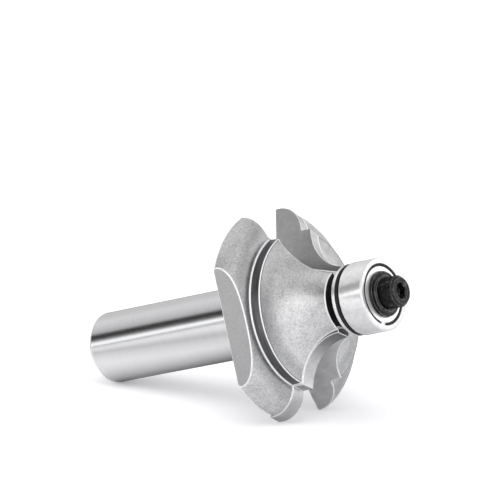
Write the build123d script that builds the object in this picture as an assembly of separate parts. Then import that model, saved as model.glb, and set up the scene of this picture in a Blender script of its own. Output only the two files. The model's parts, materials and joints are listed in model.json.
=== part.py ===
"""Two-flute cove-and-bead router bit with a guide bearing, lying on a bench.

The tool is built upright on its own axis: the shank's free end at height 0,
the pilot screw at the top.  It is then laid down as it comes to rest, on the
shank's end and on the two corners either side of one gullet, with the
pilot pointing along +X.  Lengths are in millimetres, angles in degrees.
"""
import math
import os

from build123d import *

# ---------------------------------------------------------------- shank
SHANK_D = 12.7            # ground shank, gripped by the collet
SHANK_STRAIGHT = 38.1     # cylindrical length of the shank
SHANK_CHAMFER = 1.0       # bevel on the free end
SHANK_FILLET = 1.3        # root radius between shank and head

# ---------------------------------------------------------------- cutting form
CUT_D = 38.1              # largest cutting diameter
CUT_LAND = 0.5            # straight land behind the bead
BEAD_R = 4.76             # convex bead at the large end
STEP_LEN = 2.1            # fillet between bead and cove
TIP_OVERHANG = 0.4        # carbide stands this far behind the head

# ---------------------------------------------------------------- steel head
BODY_RELIEF = 0.45        # steel lies this far inside the cutting form
RIM_BREAK = 0.3           # broken edge at the back rim
STEP_BREAK = 0.2          # broken edge where the fillet ring meets the cove
NOSE_SETBACK = 0.35       # steel stops this far short of the carbide's nose
FLAT_H = 15.4             # height of the two milled flats above the axis
FLAT_ANGLE = -72.0        # where a flat faces, measured from its own rake face
FLUTES = 2

# ---------------------------------------------------------------- gullets
GULLET_W = 9.0            # from the rake face to the foot of the trailing wall
GULLET_FLARE = 30.0       # lean of the trailing wall away from the mouth
GULLET_FLOOR_W = 3.3      # flat part of the floor
GULLET_ROOT_R = 0.8       # radius at the foot of the rake face
GULLET_BEND_R = 2.0       # radius where floor, ramp and wall meet
GULLET_SKIN = 0.1         # what the floor leaves over neck and shank root
GULLET_LIFT = 0.2         # cutter starts this far beyond the nose

# ---------------------------------------------------------------- carbide tips
TIP_T = 2.4               # plate thickness
TIP_RELIEF_SIDE = 0.5     # radial drop from edge to heel
TIP_RELIEF_FACE = 0.35    # axial drop from edge to heel
TIP_SEAT = 1.1            # plate's inner edge stands this far outside the neck

# ---------------------------------------------------------------- neck, pilot pin
NECK_R = 3.9
NECK_LEN = 1.55
PIN_SHORT = 0.2           # pin ends this far inside the bearing
PIN_CHAMFER = 0.25

# ---------------------------------------------------------------- ball bearing
BEARING_D = 12.7
BEARING_BORE = 4.762
BEARING_W = 4.98
BEARING_CHAMFER = 0.25
BALL_D = 2.38
BALL_COUNT = 7
BALL_PLAY = 0.06          # room between ball and race
INNER_WALL = 1.169        # inner ring, from its bore to its land
OUTER_WALL = 1.2          # outer ring, from its land to its rim
BORE_PLAY = 0.015         # inner ring on its pin

CAGE_T = 0.7
CAGE_H = 3.2
CAGE_PLAY = 0.1           # room between ball and pocket

SHIELD_LEDGE = 0.25       # width of the step in the outer ring that a shield lies on
SHIELD_T = 0.25
SHIELD_SINK = 0.2         # shield lies this far below the outer ring's face
SHIELD_GAP = 0.3          # room between shield and inner ring

# ---------------------------------------------------------------- washers, screw
REAR_WASHER_D = 12.5
REAR_WASHER_T = 1.3
REAR_HUB_T = 0.25         # keeps the rim clear of the outer ring
REAR_HUB_R = 3.4
REAR_EDGE = 0.2           # bevel on the rim
FRONT_WASHER_D = 7.9
FRONT_WASHER_T = 0.95     # through its raised middle
FRONT_PLATE_T = 0.5       # thinner rim, clear of the shield
FRONT_HUB_D = 6.7         # raised middle under the screw head
FRONT_HUB_BEVEL = 0.2

SCREW_D = 3.0
SCREW_LEN = 8.0           # under the head
SCREW_HEAD_D = 5.5
SCREW_HEAD_H = 3.0
SCREW_HEAD_CHAMFER = 0.35
SCREW_HEX = 2.5           # across flats
SCREW_HEX_DEPTH = 1.5
SCREW_PLAY = 0.02
SCREW_TIP_CHAMFER = 0.4
HOLE_SPARE = 1.5          # tapped hole runs on past the screw
WASHER_PLAY = 0.1

# ---------------------------------------------------------------- derived places
SHANK_R = SHANK_D / 2
CUT_R = CUT_D / 2
STEP_R = CUT_R - BEAD_R
COVE_R = STEP_R - BEARING_D / 2      # the cove ends level with the bearing
BACK_Z = SHANK_STRAIGHT + SHANK_FILLET
BEAD_Z = BACK_Z + CUT_LAND
COVE_Z = BEAD_Z + BEAD_R + STEP_LEN + COVE_R
NOSE_Z = COVE_Z - NOSE_SETBACK
REAR_WASHER_Z = NOSE_Z + NECK_LEN
BEARING_Z = REAR_WASHER_Z + REAR_WASHER_T + REAR_HUB_T
BEARING_MID_Z = BEARING_Z + BEARING_W / 2
BEARING_END_Z = BEARING_Z + BEARING_W
PIN_END_Z = BEARING_END_Z - PIN_SHORT
HEAD_Z = BEARING_END_Z + FRONT_WASHER_T
SCREW_TIP_Z = HEAD_Z - SCREW_LEN
HOLE_END_Z = SCREW_TIP_Z - HOLE_SPARE

RIM_R = CUT_R - BODY_RELIEF
BODY_BEAD_R = BEAD_R - BODY_RELIEF
BODY_STEP_R = STEP_R - BODY_RELIEF
BODY_COVE_R = COVE_R + BODY_RELIEF
PIN_R = BEARING_BORE / 2 - BORE_PLAY
BALL_PITCH_R = (BEARING_D + BEARING_BORE) / 4      # midway between bore and rim
LAND_INNER_R = BEARING_BORE / 2 + INNER_WALL
LAND_OUTER_R = BEARING_D / 2 - OUTER_WALL
SHIELD_SEAT_R = LAND_OUTER_R + SHIELD_LEDGE
RACE_R = BALL_D / 2 + BALL_PLAY
GULLET_NOSE_X = NECK_R + GULLET_SKIN
GULLET_BACK_X = SHANK_R + SHANK_FILLET + GULLET_SKIN
GULLET_SLOPE = (GULLET_BACK_X - GULLET_NOSE_X) / (NOSE_Z - BACK_Z)

CLEAR = 5.0               # how far a cutting solid runs past what it cuts
SOLVER_STEPS = 40
FULL_TURN = 360.0
RIGHT_ANGLE = 90.0


def chain(*points):
    """Straight edges through (radius, height) points."""
    return Polyline(*points).edges()


def arc_between(centre, start, finish):
    """Short arc about a centre, from one (radius, height) point to another."""
    start_angle = math.degrees(math.atan2(start[1] - centre[1], start[0] - centre[0]))
    end_angle = math.degrees(math.atan2(finish[1] - centre[1], finish[0] - centre[0]))
    half_turn = FULL_TURN / 2
    sweep = (end_angle - start_angle + half_turn) % FULL_TURN - half_turn
    return CenterArc(centre, math.dist(centre, start), start_angle, sweep).edges()


def turned(outline):
    """Solid turned about the tool's axis from a closed (radius, height) outline."""
    return revolve(make_face(Plane.XZ * Wire(outline)), Axis.Z)


def turned_corners(*corners):
    """Turned solid with a straight-edged section."""
    return turned(chain(*corners, corners[0]))


def ring(inner_r, outer_r, low_z, high_z):
    """Plain ring between two radii and two heights."""
    return turned_corners((inner_r, low_z), (outer_r, low_z), (outer_r, high_z), (inner_r, high_z))


def round_bar(radius, low_z, high_z):
    """Plain cylinder on the tool's axis."""
    align = (Align.CENTER, Align.CENTER, Align.MIN)
    return Pos(0, 0, low_z) * Cylinder(radius, high_z - low_z, align=align)


def around(solid, count):
    """Copies of a solid spaced evenly round the tool's axis."""
    return [Rot(0, 0, FULL_TURN / count * turn) * solid for turn in range(count)]


# ---------------------------------------------------------------- steel body
def cove_height(radius):
    """Height of the steel's cove surface at a radius."""
    return COVE_Z - math.sqrt(BODY_COVE_R ** 2 - (STEP_R - radius) ** 2)


def body_blank():
    """Shank, head, neck and pilot pin, turned in one piece."""
    root_r = SHANK_R + SHANK_FILLET
    bead_end = BEAD_Z + BODY_BEAD_R
    cove_in_r = BODY_STEP_R - STEP_BREAK
    cove_in = (cove_in_r, cove_height(cove_in_r))
    nose_r = STEP_R - math.sqrt(BODY_COVE_R ** 2 - NOSE_SETBACK ** 2)
    nose = (nose_r, NOSE_Z)
    outline = [
        *chain(
            (0, 0),
            (SHANK_R - SHANK_CHAMFER, 0),
            (SHANK_R, SHANK_CHAMFER),
            (SHANK_R, SHANK_STRAIGHT),
        ),
        *arc_between((root_r, SHANK_STRAIGHT), (SHANK_R, SHANK_STRAIGHT), (root_r, BACK_Z)),
        *chain(
            (root_r, BACK_Z),
            (RIM_R - RIM_BREAK, BACK_Z),
            (RIM_R, BACK_Z + RIM_BREAK),
            (RIM_R, BEAD_Z),
        ),
        *arc_between((STEP_R, BEAD_Z), (RIM_R, BEAD_Z), (STEP_R, bead_end)),
        *chain(
            (STEP_R, bead_end),
            (BODY_STEP_R, bead_end),
            (BODY_STEP_R, cove_height(BODY_STEP_R)),
            cove_in,
        ),
        *arc_between((STEP_R, COVE_Z), cove_in, nose),
        *chain(
            nose,
            (NECK_R, NOSE_Z),
            (NECK_R, REAR_WASHER_Z),
            (PIN_R, REAR_WASHER_Z),
            (PIN_R, PIN_END_Z - PIN_CHAMFER),
            (PIN_R - PIN_CHAMFER, PIN_END_Z),
            (0, PIN_END_Z),
            (0, 0),
        ),
    ]
    return turned(outline)


def gullet_floor_x(height):
    """Distance of the gullet floor from the axis at a height."""
    return GULLET_NOSE_X + GULLET_SLOPE * (NOSE_Z - height)


def gullet():
    """Chip gullet ahead of the rake face, its floor rising towards the shank."""
    floor_x = gullet_floor_x(NOSE_Z + GULLET_LIFT)
    wall_x = floor_x + GULLET_W - GULLET_FLOOR_W
    mouth_w = GULLET_W + (CUT_D - wall_x) * math.tan(math.radians(GULLET_FLARE))
    route = FilletPolyline(
        (CUT_D, 0),
        (floor_x, 0),
        (floor_x, GULLET_FLOOR_W),
        (wall_x, GULLET_W),
        (CUT_D, mouth_w),
        radius=[GULLET_ROOT_R, GULLET_BEND_R, GULLET_BEND_R],
    )
    mouth = Line((CUT_D, mouth_w), (CUT_D, 0))
    section = make_face(Wire([*route.edges(), *mouth.edges()]))
    cut = Vector(GULLET_SLOPE, 0, -1) * (NOSE_Z + GULLET_LIFT - BACK_Z + CLEAR)
    prism = extrude(section, amount=cut.length, dir=cut.normalized())
    return Pos(0, 0, NOSE_Z + GULLET_LIFT) * prism


def tip_seat():
    """Plate-shaped space behind the rake face, from the tip's inner edge outwards."""
    inner_nose = NECK_R + TIP_SEAT
    low_z = BACK_Z - TIP_OVERHANG
    inner_back = inner_nose + GULLET_SLOPE * (COVE_Z - low_z)
    corners = ((inner_nose, COVE_Z), (inner_back, low_z), (CUT_D, low_z), (CUT_D, COVE_Z))
    side = make_face(Plane.XZ * Wire(chain(*corners, corners[0])))
    return extrude(side, amount=TIP_T, dir=(0, -1, 0))


def tip_form():
    """Cutting form swept back from the rake face with side and face relief."""
    low_z = BACK_Z - TIP_OVERHANG
    step_z = BEAD_Z + BEAD_R
    cove_in = (STEP_R, step_z + STEP_LEN)
    cove_out = (STEP_R - COVE_R, COVE_Z)
    outline = [
        *chain((0, low_z - CLEAR), (CUT_R, low_z - CLEAR), (CUT_R, BEAD_Z)),
        *arc_between((STEP_R, BEAD_Z), (CUT_R, BEAD_Z), (STEP_R, step_z)),
        *chain((STEP_R, step_z), cove_in),
        *arc_between((STEP_R, COVE_Z), cove_in, cove_out),
        *chain(cove_out, (0, COVE_Z), (0, low_z - CLEAR)),
    ]
    side = make_face(Plane.XZ * Wire(outline))
    heel = Vector(-TIP_RELIEF_SIDE, -TIP_T, -TIP_RELIEF_FACE)
    return extrude(side, amount=heel.length, dir=heel.normalized())


def carbide_tip():
    """Brazed carbide plate, ground to the cutting form."""
    return tip_form() & tip_seat()


def flat_cutter():
    """Block that mills one flat on the back of the bead."""
    depth = CUT_R - FLAT_H + CLEAR
    height = CLEAR + CUT_LAND + BEAD_R
    align = (Align.MIN, Align.CENTER, Align.MIN)
    block = Box(depth, CUT_D, height, align=align)
    return Rot(0, 0, FLAT_ANGLE) * Pos(FLAT_H, 0, BACK_Z - CLEAR) * block


def cutter_body():
    """Steel body with its gullets, tip seats, flats and tapped hole."""
    steel = body_blank()
    for cutter in (gullet(), tip_seat(), flat_cutter()):
        for cut in around(cutter, FLUTES):
            steel -= cut
    return steel - round_bar(SCREW_D / 2 + SCREW_PLAY, HOLE_END_Z, PIN_END_Z + CLEAR)


# ---------------------------------------------------------------- ball bearing
def bevelled_ring(inner_r, outer_r, bevel_r, bevel):
    """Bearing-wide ring with both corners bevelled on the outer or inner side."""
    low_z, high_z = BEARING_Z, BEARING_END_Z
    if bevel_r == outer_r:
        corners = (
            (inner_r, low_z),
            (outer_r - bevel, low_z),
            (outer_r, low_z + bevel),
            (outer_r, high_z - bevel),
            (outer_r - bevel, high_z),
            (inner_r, high_z),
        )
    else:
        corners = (
            (inner_r + bevel, low_z),
            (outer_r, low_z),
            (outer_r, high_z),
            (inner_r + bevel, high_z),
            (inner_r, high_z - bevel),
            (inner_r, low_z + bevel),
        )
    return turned_corners(*corners)


def race():
    """Torus of the ball track shared by both rings."""
    return Pos(0, 0, BEARING_MID_Z) * Torus(BALL_PITCH_R, RACE_R)


def outer_ring():
    """Outer ring with its track and a counterbore for each shield."""
    outer_r = BEARING_D / 2
    depth = SHIELD_SINK + SHIELD_T
    steel = bevelled_ring(LAND_OUTER_R, outer_r, outer_r, BEARING_CHAMFER)
    steel -= round_bar(SHIELD_SEAT_R, BEARING_Z - CLEAR, BEARING_Z + depth)
    steel -= round_bar(SHIELD_SEAT_R, BEARING_END_Z - depth, BEARING_END_Z + CLEAR)
    return steel - race()


def inner_ring():
    """Inner ring with its track, seated on the pilot pin."""
    bore_r = BEARING_BORE / 2
    return bevelled_ring(bore_r, LAND_INNER_R, bore_r, PIN_CHAMFER) - race()


def cage():
    """Ring between the two races with one round pocket for each ball."""
    inner_r = BALL_PITCH_R - CAGE_T / 2
    low_z = BEARING_MID_Z - CAGE_H / 2
    band = ring(inner_r, inner_r + CAGE_T, low_z, low_z + CAGE_H)
    drill = Rot(0, RIGHT_ANGLE, 0) * Cylinder(BALL_D / 2 + CAGE_PLAY, BALL_D)
    for pocket in around(Pos(BALL_PITCH_R, 0, BEARING_MID_Z) * drill, BALL_COUNT):
        band -= pocket
    return band


def shield(low_z):
    """Thin dust shield pressed into the outer ring."""
    return ring(LAND_INNER_R + SHIELD_GAP, SHIELD_SEAT_R, low_z, low_z + SHIELD_T)


# ---------------------------------------------------------------- washers, screw
def rear_washer():
    """Bright spacer between neck and bearing, its hub bearing on the inner ring."""
    bore_r = BEARING_BORE / 2
    rim_r = REAR_WASHER_D / 2
    disc_end = REAR_WASHER_Z + REAR_WASHER_T
    return turned_corners(
        (bore_r, REAR_WASHER_Z),
        (rim_r - REAR_EDGE, REAR_WASHER_Z),
        (rim_r, REAR_WASHER_Z + REAR_EDGE),
        (rim_r, disc_end - REAR_EDGE),
        (rim_r - REAR_EDGE, disc_end),
        (REAR_HUB_R, disc_end),
        (REAR_HUB_R, BEARING_Z),
        (bore_r, BEARING_Z),
    )


def front_washer():
    """Washer under the screw head: a thin rim round a thicker bevelled middle."""
    bore_r = SCREW_D / 2 + WASHER_PLAY
    rim_r = FRONT_WASHER_D / 2
    hub_r = FRONT_HUB_D / 2
    plate_z = BEARING_END_Z + FRONT_PLATE_T
    return turned_corners(
        (bore_r, BEARING_END_Z),
        (rim_r, BEARING_END_Z),
        (rim_r, plate_z),
        (hub_r, plate_z),
        (hub_r, HEAD_Z - FRONT_HUB_BEVEL),
        (hub_r - FRONT_HUB_BEVEL, HEAD_Z),
        (bore_r, HEAD_Z),
    )


def clamp_screw():
    """Socket-head screw that clamps washer and bearing to the pin."""
    thread_r = SCREW_D / 2
    head_r = SCREW_HEAD_D / 2
    head_end = HEAD_Z + SCREW_HEAD_H
    blank = turned_corners(
        (0, SCREW_TIP_Z),
        (thread_r - SCREW_TIP_CHAMFER, SCREW_TIP_Z),
        (thread_r, SCREW_TIP_Z + SCREW_TIP_CHAMFER),
        (thread_r, HEAD_Z),
        (head_r, HEAD_Z),
        (head_r, head_end - SCREW_HEAD_CHAMFER),
        (head_r - SCREW_HEAD_CHAMFER, head_end),
        (0, head_end),
    )
    hexagon = RegularPolygon(SCREW_HEX / 2, 6, major_radius=False)
    socket = extrude(Pos(0, 0, head_end - SCREW_HEX_DEPTH) * hexagon, amount=CLEAR)
    return blank - socket


# ---------------------------------------------------------------- resting attitude
def heel_corner(height):
    """Where the gullet's trailing wall meets the rim, across the cutter."""
    flare = math.radians(GULLET_FLARE)
    foot_x = gullet_floor_x(height) + GULLET_W - GULLET_FLOOR_W
    aside = GULLET_W * math.cos(flare) - foot_x * math.sin(flare)
    along = math.sqrt(RIM_R ** 2 - aside ** 2)
    heel_x = along * math.cos(flare) - aside * math.sin(flare)
    heel_y = along * math.sin(flare) + aside * math.cos(flare)
    return heel_x, heel_y


def resting_attitude():
    """Roll and tilt with shank, cutting corner and heel corner on the bench."""
    heel_z = BACK_Z + RIM_BREAK
    heel_x, heel_y = heel_corner(heel_z)
    tip_z = BACK_Z - TIP_OVERHANG
    roll = 0.0
    tilt = 0.0
    for _ in range(SOLVER_STEPS):
        drop = CUT_R * math.cos(roll) - SHANK_R
        tilt = math.atan2(drop, tip_z - SHANK_CHAMFER)
        lead = (heel_z - tip_z) * math.tan(tilt)
        reach = CUT_R - heel_x
        span = math.hypot(reach, heel_y)
        roll = math.atan2(reach, heel_y) + math.asin(lead / span)
    return math.degrees(roll), math.degrees(tilt)


def all_nodes():
    """Every node of the tool, standing upright on its own axis."""
    nodes = {
        "cutter_body": cutter_body(),
        "rear_washer": rear_washer(),
        "bearing_inner_ring": inner_ring(),
        "bearing_outer_ring": outer_ring(),
        "bearing_cage": cage(),
        "bearing_shield_rear": shield(BEARING_Z + SHIELD_SINK),
        "bearing_shield_front": shield(BEARING_END_Z - SHIELD_SINK - SHIELD_T),
        "front_washer": front_washer(),
        "clamp_screw": clamp_screw(),
    }
    for number, tip in enumerate(around(carbide_tip(), FLUTES), start=1):
        nodes[f"carbide_tip_{number}"] = tip
    return nodes


def main():
    """Lay the tool down, write one file for each node and print where things lie."""
    roll, tilt = resting_attitude()
    laid = Rot(0, RIGHT_ANGLE - tilt, 0) * Rot(0, 0, -roll)
    nodes = all_nodes()
    box = Compound(children=[laid * solid for solid in nodes.values()]).bounding_box()
    home = Pos(-box.center().X, -box.center().Y, -box.min.Z)

    os.makedirs("parts", exist_ok=True)
    for node, solid in nodes.items():
        placed = home * laid * solid
        placed.label = node
        export_step(placed, f"parts/{node}.step")

    axis = Vector(0, 0, 1).rotate(Axis.Y, RIGHT_ANGLE - tilt)
    print(f"roll {roll:.3f} tilt {tilt:.3f} axis {tuple(round(v, 6) for v in axis)}")
    places = {"shank middle": SHANK_STRAIGHT / 2, "bearing middle": BEARING_MID_Z}
    for name, height in places.items():
        point = home * laid * Pos(0, 0, height)
        print(name, tuple(round(v, 4) for v in point.position))
    print("box", box.size)


main()
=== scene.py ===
import json
import math

import bmesh
import bpy
from mathutils import Matrix, Vector
from mathutils.bvhtree import BVHTree


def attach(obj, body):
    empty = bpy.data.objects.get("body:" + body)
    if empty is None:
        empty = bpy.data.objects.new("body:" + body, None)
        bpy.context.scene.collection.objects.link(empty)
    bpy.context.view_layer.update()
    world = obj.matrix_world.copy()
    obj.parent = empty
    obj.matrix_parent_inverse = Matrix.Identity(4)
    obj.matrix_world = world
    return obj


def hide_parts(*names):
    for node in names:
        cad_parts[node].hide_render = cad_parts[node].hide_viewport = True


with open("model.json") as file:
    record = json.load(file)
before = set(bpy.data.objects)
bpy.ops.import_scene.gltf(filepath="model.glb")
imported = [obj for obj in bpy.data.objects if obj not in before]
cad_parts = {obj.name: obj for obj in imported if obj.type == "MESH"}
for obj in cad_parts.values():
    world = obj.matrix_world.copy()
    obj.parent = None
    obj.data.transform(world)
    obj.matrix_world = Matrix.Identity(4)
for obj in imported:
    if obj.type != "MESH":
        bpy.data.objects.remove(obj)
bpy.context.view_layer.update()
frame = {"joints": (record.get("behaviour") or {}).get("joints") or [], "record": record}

# ================================================================ steel body
# Shank, head, neck and pilot pin are turned in one piece from alloy steel, then the gullets, the seats
# for the tips and the two flats are milled. The shank is ground to fit the collet and the head is fine
# blasted. Lengths are in millimetres along the tool's own axis, from the shank's free end.
SHANK_R = 6.35
SHANK_BEVEL = 1.0
SHANK_LENGTH = 38.1
ROOT_FILLET = 1.3
CUT_R = 19.05
CUT_LAND = 0.5
BEAD_R = 4.76
RING_LENGTH = 2.1
BODY_RELIEF = 0.45
RIM_BREAK = 0.3
RING_FILLET = 0.4
NOSE_SETBACK = 0.35
NECK_R = 3.9
NECK_LENGTH = 1.55
NECK_FILLET = 0.3
PILOT_R = 6.35
PIN_R = 2.366
PIN_LENGTH = 6.33
PIN_BEVEL = 0.25
HOLE_R = 1.52
HOLE_DEPTH = 8.35
FLAT_HEIGHT = 15.4
FLAT_TURN = math.radians(-72)
GULLET_W = 9.0
GULLET_FLARE = math.radians(30)
GULLET_FLOOR_W = 3.3
GULLET_ROOT_R = 0.8
GULLET_BEND_R = 2.0
GULLET_SKIN = 0.1
GULLET_LIFT = 0.2
SEAT_MOUTH = 1.0
BRAZE = 0.2
TIP_T = 2.4
TIP_OVERHANG = 0.4
TIP_SEAT = 1.1
EDGE_EASE = 0.16
SHARP_ANGLE = math.radians(28)
TURN_STEPS = 288
ARC_STEP = 0.32
SPARE = 5.0
POINT_GAP = 0.0005
THIN = 0.001
MERGE = 0.002
STUB_SHARE = 1.3
RING_LEDGE = 0.02
FACE_SKIN = 0.01
FLUTES = 2
ROLL = math.radians(20.111)
RING_SHADE_HEIGHTS = (43.2, 48.2)

BACK = SHANK_LENGTH + ROOT_FILLET
RIM = BACK + CUT_LAND
RING_START = RIM + BEAD_R
RING_R = CUT_R - BEAD_R
COVE_R = RING_R - PILOT_R
COVE_END = RING_START + RING_LENGTH + COVE_R
NOSE = COVE_END - NOSE_SETBACK
WASHER = NOSE + NECK_LENGTH
TIP_BACK = BACK - TIP_OVERHANG
GULLET_NOSE_X = NECK_R + GULLET_SKIN
GULLET_SLOPE = (SHANK_R + ROOT_FILLET + GULLET_SKIN - GULLET_NOSE_X) / (NOSE - BACK)

# The bit lies tilted on its shank's end and on two corners of the head, turned by ROLL about its axis.
shank_mount = frame["record"]["mounts"][0]
tool_axis = Vector(frame["joints"][0]["axis"]).normalized()
tool_start = Vector(shank_mount["pos_m"]) - tool_axis * SHANK_LENGTH / 2 / 1000
tool_tilt = Matrix.Rotation(math.pi / 2 - math.asin(tool_axis.z), 4, "Y")
tool_turn = tool_tilt @ Matrix.Rotation(-ROLL, 4, "Z")
laid = Matrix.Translation(tool_start) @ tool_turn @ Matrix.Scale(0.001, 4)


def arc(centre, start, finish):
    """Points of the short arc about a centre from start to finish, both included."""
    radius = math.dist(centre, start)
    first = math.atan2(start[1] - centre[1], start[0] - centre[0])
    last = math.atan2(finish[1] - centre[1], finish[0] - centre[0])
    sweep = (last - first + math.pi) % math.tau - math.pi
    steps = max(4, math.ceil(abs(sweep) * radius / ARC_STEP))
    turns = [first + sweep * step / steps for step in range(steps + 1)]
    return [(centre[0] + radius * math.cos(turn), centre[1] + radius * math.sin(turn)) for turn in turns]


def rounded(before, corner, after, radius):
    """Points of the fillet that rounds a corner between two straight lines."""
    corner = Vector(corner)
    one = (Vector(before) - corner).normalized()
    two = (Vector(after) - corner).normalized()
    half = one.angle(two) / 2
    reach = radius / math.tan(half)
    centre = corner + (one + two).normalized() * radius / math.sin(half)
    return arc(centre, corner + one * reach, corner + two * reach)


def new_piece(name, mesh, *materials):
    """Object from a bmesh, with faces pointing outwards and smooth shading between soft edges."""
    bmesh.ops.remove_doubles(mesh, verts=mesh.verts, dist=POINT_GAP)
    bmesh.ops.recalc_face_normals(mesh, faces=mesh.faces)
    for face in mesh.faces:
        face.smooth = True
    data = bpy.data.meshes.new(name)
    mesh.to_mesh(data)
    mesh.free()
    for material in materials:
        data.materials.append(material)
    data.set_sharp_from_angle(angle=SHARP_ANGLE)
    piece = bpy.data.objects.new(name, data)
    bpy.context.scene.collection.objects.link(piece)
    return piece


def turned(name, outline, *materials, steps=TURN_STEPS):
    """Closed solid turned about the tool's axis from (radius, height) points."""
    mesh = bmesh.new()
    rings = []
    for radius, height in outline:
        count = steps if radius > 0 else 1
        turns = [math.tau * step / steps for step in range(count)]
        ring = [(radius * math.cos(turn), radius * math.sin(turn), height) for turn in turns]
        rings.append([mesh.verts.new(point) for point in ring])
    for ring, other in zip(rings, rings[1:] + rings[:1]):
        if len(ring) == len(other) == 1:
            continue
        for step in range(steps):
            following = (step + 1) % steps
            corners = [
                ring[step % len(ring)],
                ring[following % len(ring)],
                other[following % len(other)],
                other[step % len(other)],
            ]
            mesh.faces.new(dict.fromkeys(corners))
    return new_piece(name, mesh, *materials)


def prism(name, points, sweep, *materials):
    """Straight prism from a closed loop of 3-D points and a sweep vector."""
    mesh = bmesh.new()
    near = [mesh.verts.new(point) for point in points]
    far = [mesh.verts.new(Vector(point) + Vector(sweep)) for point in points]
    mesh.faces.new(near)
    mesh.faces.new(far)
    for at in range(len(points)):
        mesh.faces.new((near[at - 1], near[at], far[at], far[at - 1]))
    return new_piece(name, mesh, *materials)


def baked(piece):
    """Turn a piece's modifiers into plain mesh."""
    graph = bpy.context.evaluated_depsgraph_get()
    piece.data = bpy.data.meshes.new_from_object(piece.evaluated_get(graph))
    piece.modifiers.clear()
    return piece


def combine(piece, operation, tool):
    """Cut, keep or join a piece with a tool solid, which is used up."""
    step = piece.modifiers.new("combine", "BOOLEAN")
    step.operation = operation
    step.solver = "EXACT"
    step.material_mode = "TRANSFER"
    step.object = tool
    baked(piece)
    bpy.data.objects.remove(tool)
    return piece


def at_flute(piece, flute):
    """Turn a piece to its flute."""
    piece.data.transform(Matrix.Rotation(math.tau / FLUTES * flute, 4, "Z"))
    return piece


def eased(piece, width, edge_slot=0, segments=2):
    """Break a piece's sharp edges. Short stubs beside them are merged first so the bevel runs clean,
    and a corner that strays by more than the bevel's width is pulled back."""
    mesh = bmesh.new()
    mesh.from_mesh(piece.data)
    reach = width * STUB_SHARE
    bmesh.ops.remove_doubles(mesh, verts=mesh.verts, dist=MERGE)
    sharp = [edge for edge in mesh.edges if edge.calc_face_angle(0) > SHARP_ANGLE]
    rim = dict.fromkeys(vertex for edge in sharp for vertex in edge.verts)
    bmesh.ops.remove_doubles(mesh, verts=list(rim), dist=reach)
    sharp = [edge for edge in mesh.edges if edge.calc_face_angle(0) > SHARP_ANGLE]
    rim = dict.fromkeys(vertex for edge in sharp for vertex in edge.verts)
    beside = {}
    for edge in mesh.edges:
        inside = [vertex for vertex in edge.verts if vertex not in rim]
        if len(inside) == 1 and edge.calc_length() < reach:
            beside[inside[0]] = edge.other_vert(inside[0])
    bmesh.ops.weld_verts(mesh, targetmap=beside)
    bmesh.ops.dissolve_degenerate(mesh, dist=THIN, edges=mesh.edges)
    mesh.to_mesh(piece.data)
    sharp_form = BVHTree.FromBMesh(mesh)
    mesh.free()
    bevel = piece.modifiers.new("edges", "BEVEL")
    bevel.width = width
    bevel.segments = segments
    bevel.limit_method = "ANGLE"
    bevel.angle_limit = SHARP_ANGLE
    bevel.use_clamp_overlap = False
    bevel.material = edge_slot
    baked(piece)
    for vertex in piece.data.vertices:
        nearest, _, _, stray = sharp_form.find_nearest(vertex.co)
        if stray > width:
            vertex.co = nearest
    weighted = piece.modifiers.new("normals", "WEIGHTED_NORMAL")
    weighted.keep_sharp = True
    return baked(piece)


def lay_down(piece):
    """Move a finished piece from the tool's own axis to where the tool lies."""
    piece.data.transform(laid)
    piece.data.update()
    return piece


def add(tree, kind, inputs=None, **settings):
    """Node with its settings; an input is linked when its value is a socket and set otherwise."""
    item = tree.nodes.new(kind)
    for name, value in settings.items():
        setattr(item, name, value)
    for key, value in (inputs or {}).items():
        if isinstance(value, bpy.types.NodeSocket):
            tree.links.new(value, item.inputs[key])
        else:
            item.inputs[key].default_value = value
    return item


def sum_of(tree, operation, *values):
    """Result of a math node."""
    return add(tree, "ShaderNodeMath", dict(enumerate(values)), operation=operation).outputs[0]


def ranged(tree, value, low, high, to_low, to_high):
    """Value moved from one range to another."""
    inputs = {"Value": value, "From Min": low, "From Max": high, "To Min": to_low, "To Max": to_high}
    return add(tree, "ShaderNodeMapRange", inputs).outputs["Result"]


def ramp(tree, factor, *stops):
    """Colour ramp from (place, colour) stops."""
    item = add(tree, "ShaderNodeValToRGB", {"Fac": factor})
    ends = item.color_ramp.elements
    while len(ends) < len(stops):
        ends.new(0.5)
    for end, (place, colour) in zip(ends, stops):
        end.position = place
        end.color = (*colour, 1.0)
    return item.outputs["Color"]


def blend(tree, factor, one, two, how="MIX"):
    """Colour mixed from two, by how much of the second."""
    mix = add(tree, "ShaderNodeMix", {0: factor, 6: one, 7: two}, data_type="RGBA", blend_type=how)
    return mix.outputs[2]


def grey(level, tint=0.0):
    """Near-grey colour with a trace of blue."""
    return (level, level, level + tint)


def shared_effect(name, inputs, outputs):
    """Empty shader group with named sockets: the group, its inputs' ends and its outputs' ends."""
    tree = bpy.data.node_groups.new(name, "ShaderNodeTree")
    for label, kind, value in inputs:
        socket = tree.interface.new_socket(label, in_out="INPUT", socket_type=kind)
        if value is not None:
            socket.default_value = value
    for label, kind in outputs:
        tree.interface.new_socket(label, in_out="OUTPUT", socket_type=kind)
    return tree, tree.nodes.new("NodeGroupInput").outputs, tree.nodes.new("NodeGroupOutput").inputs


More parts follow.
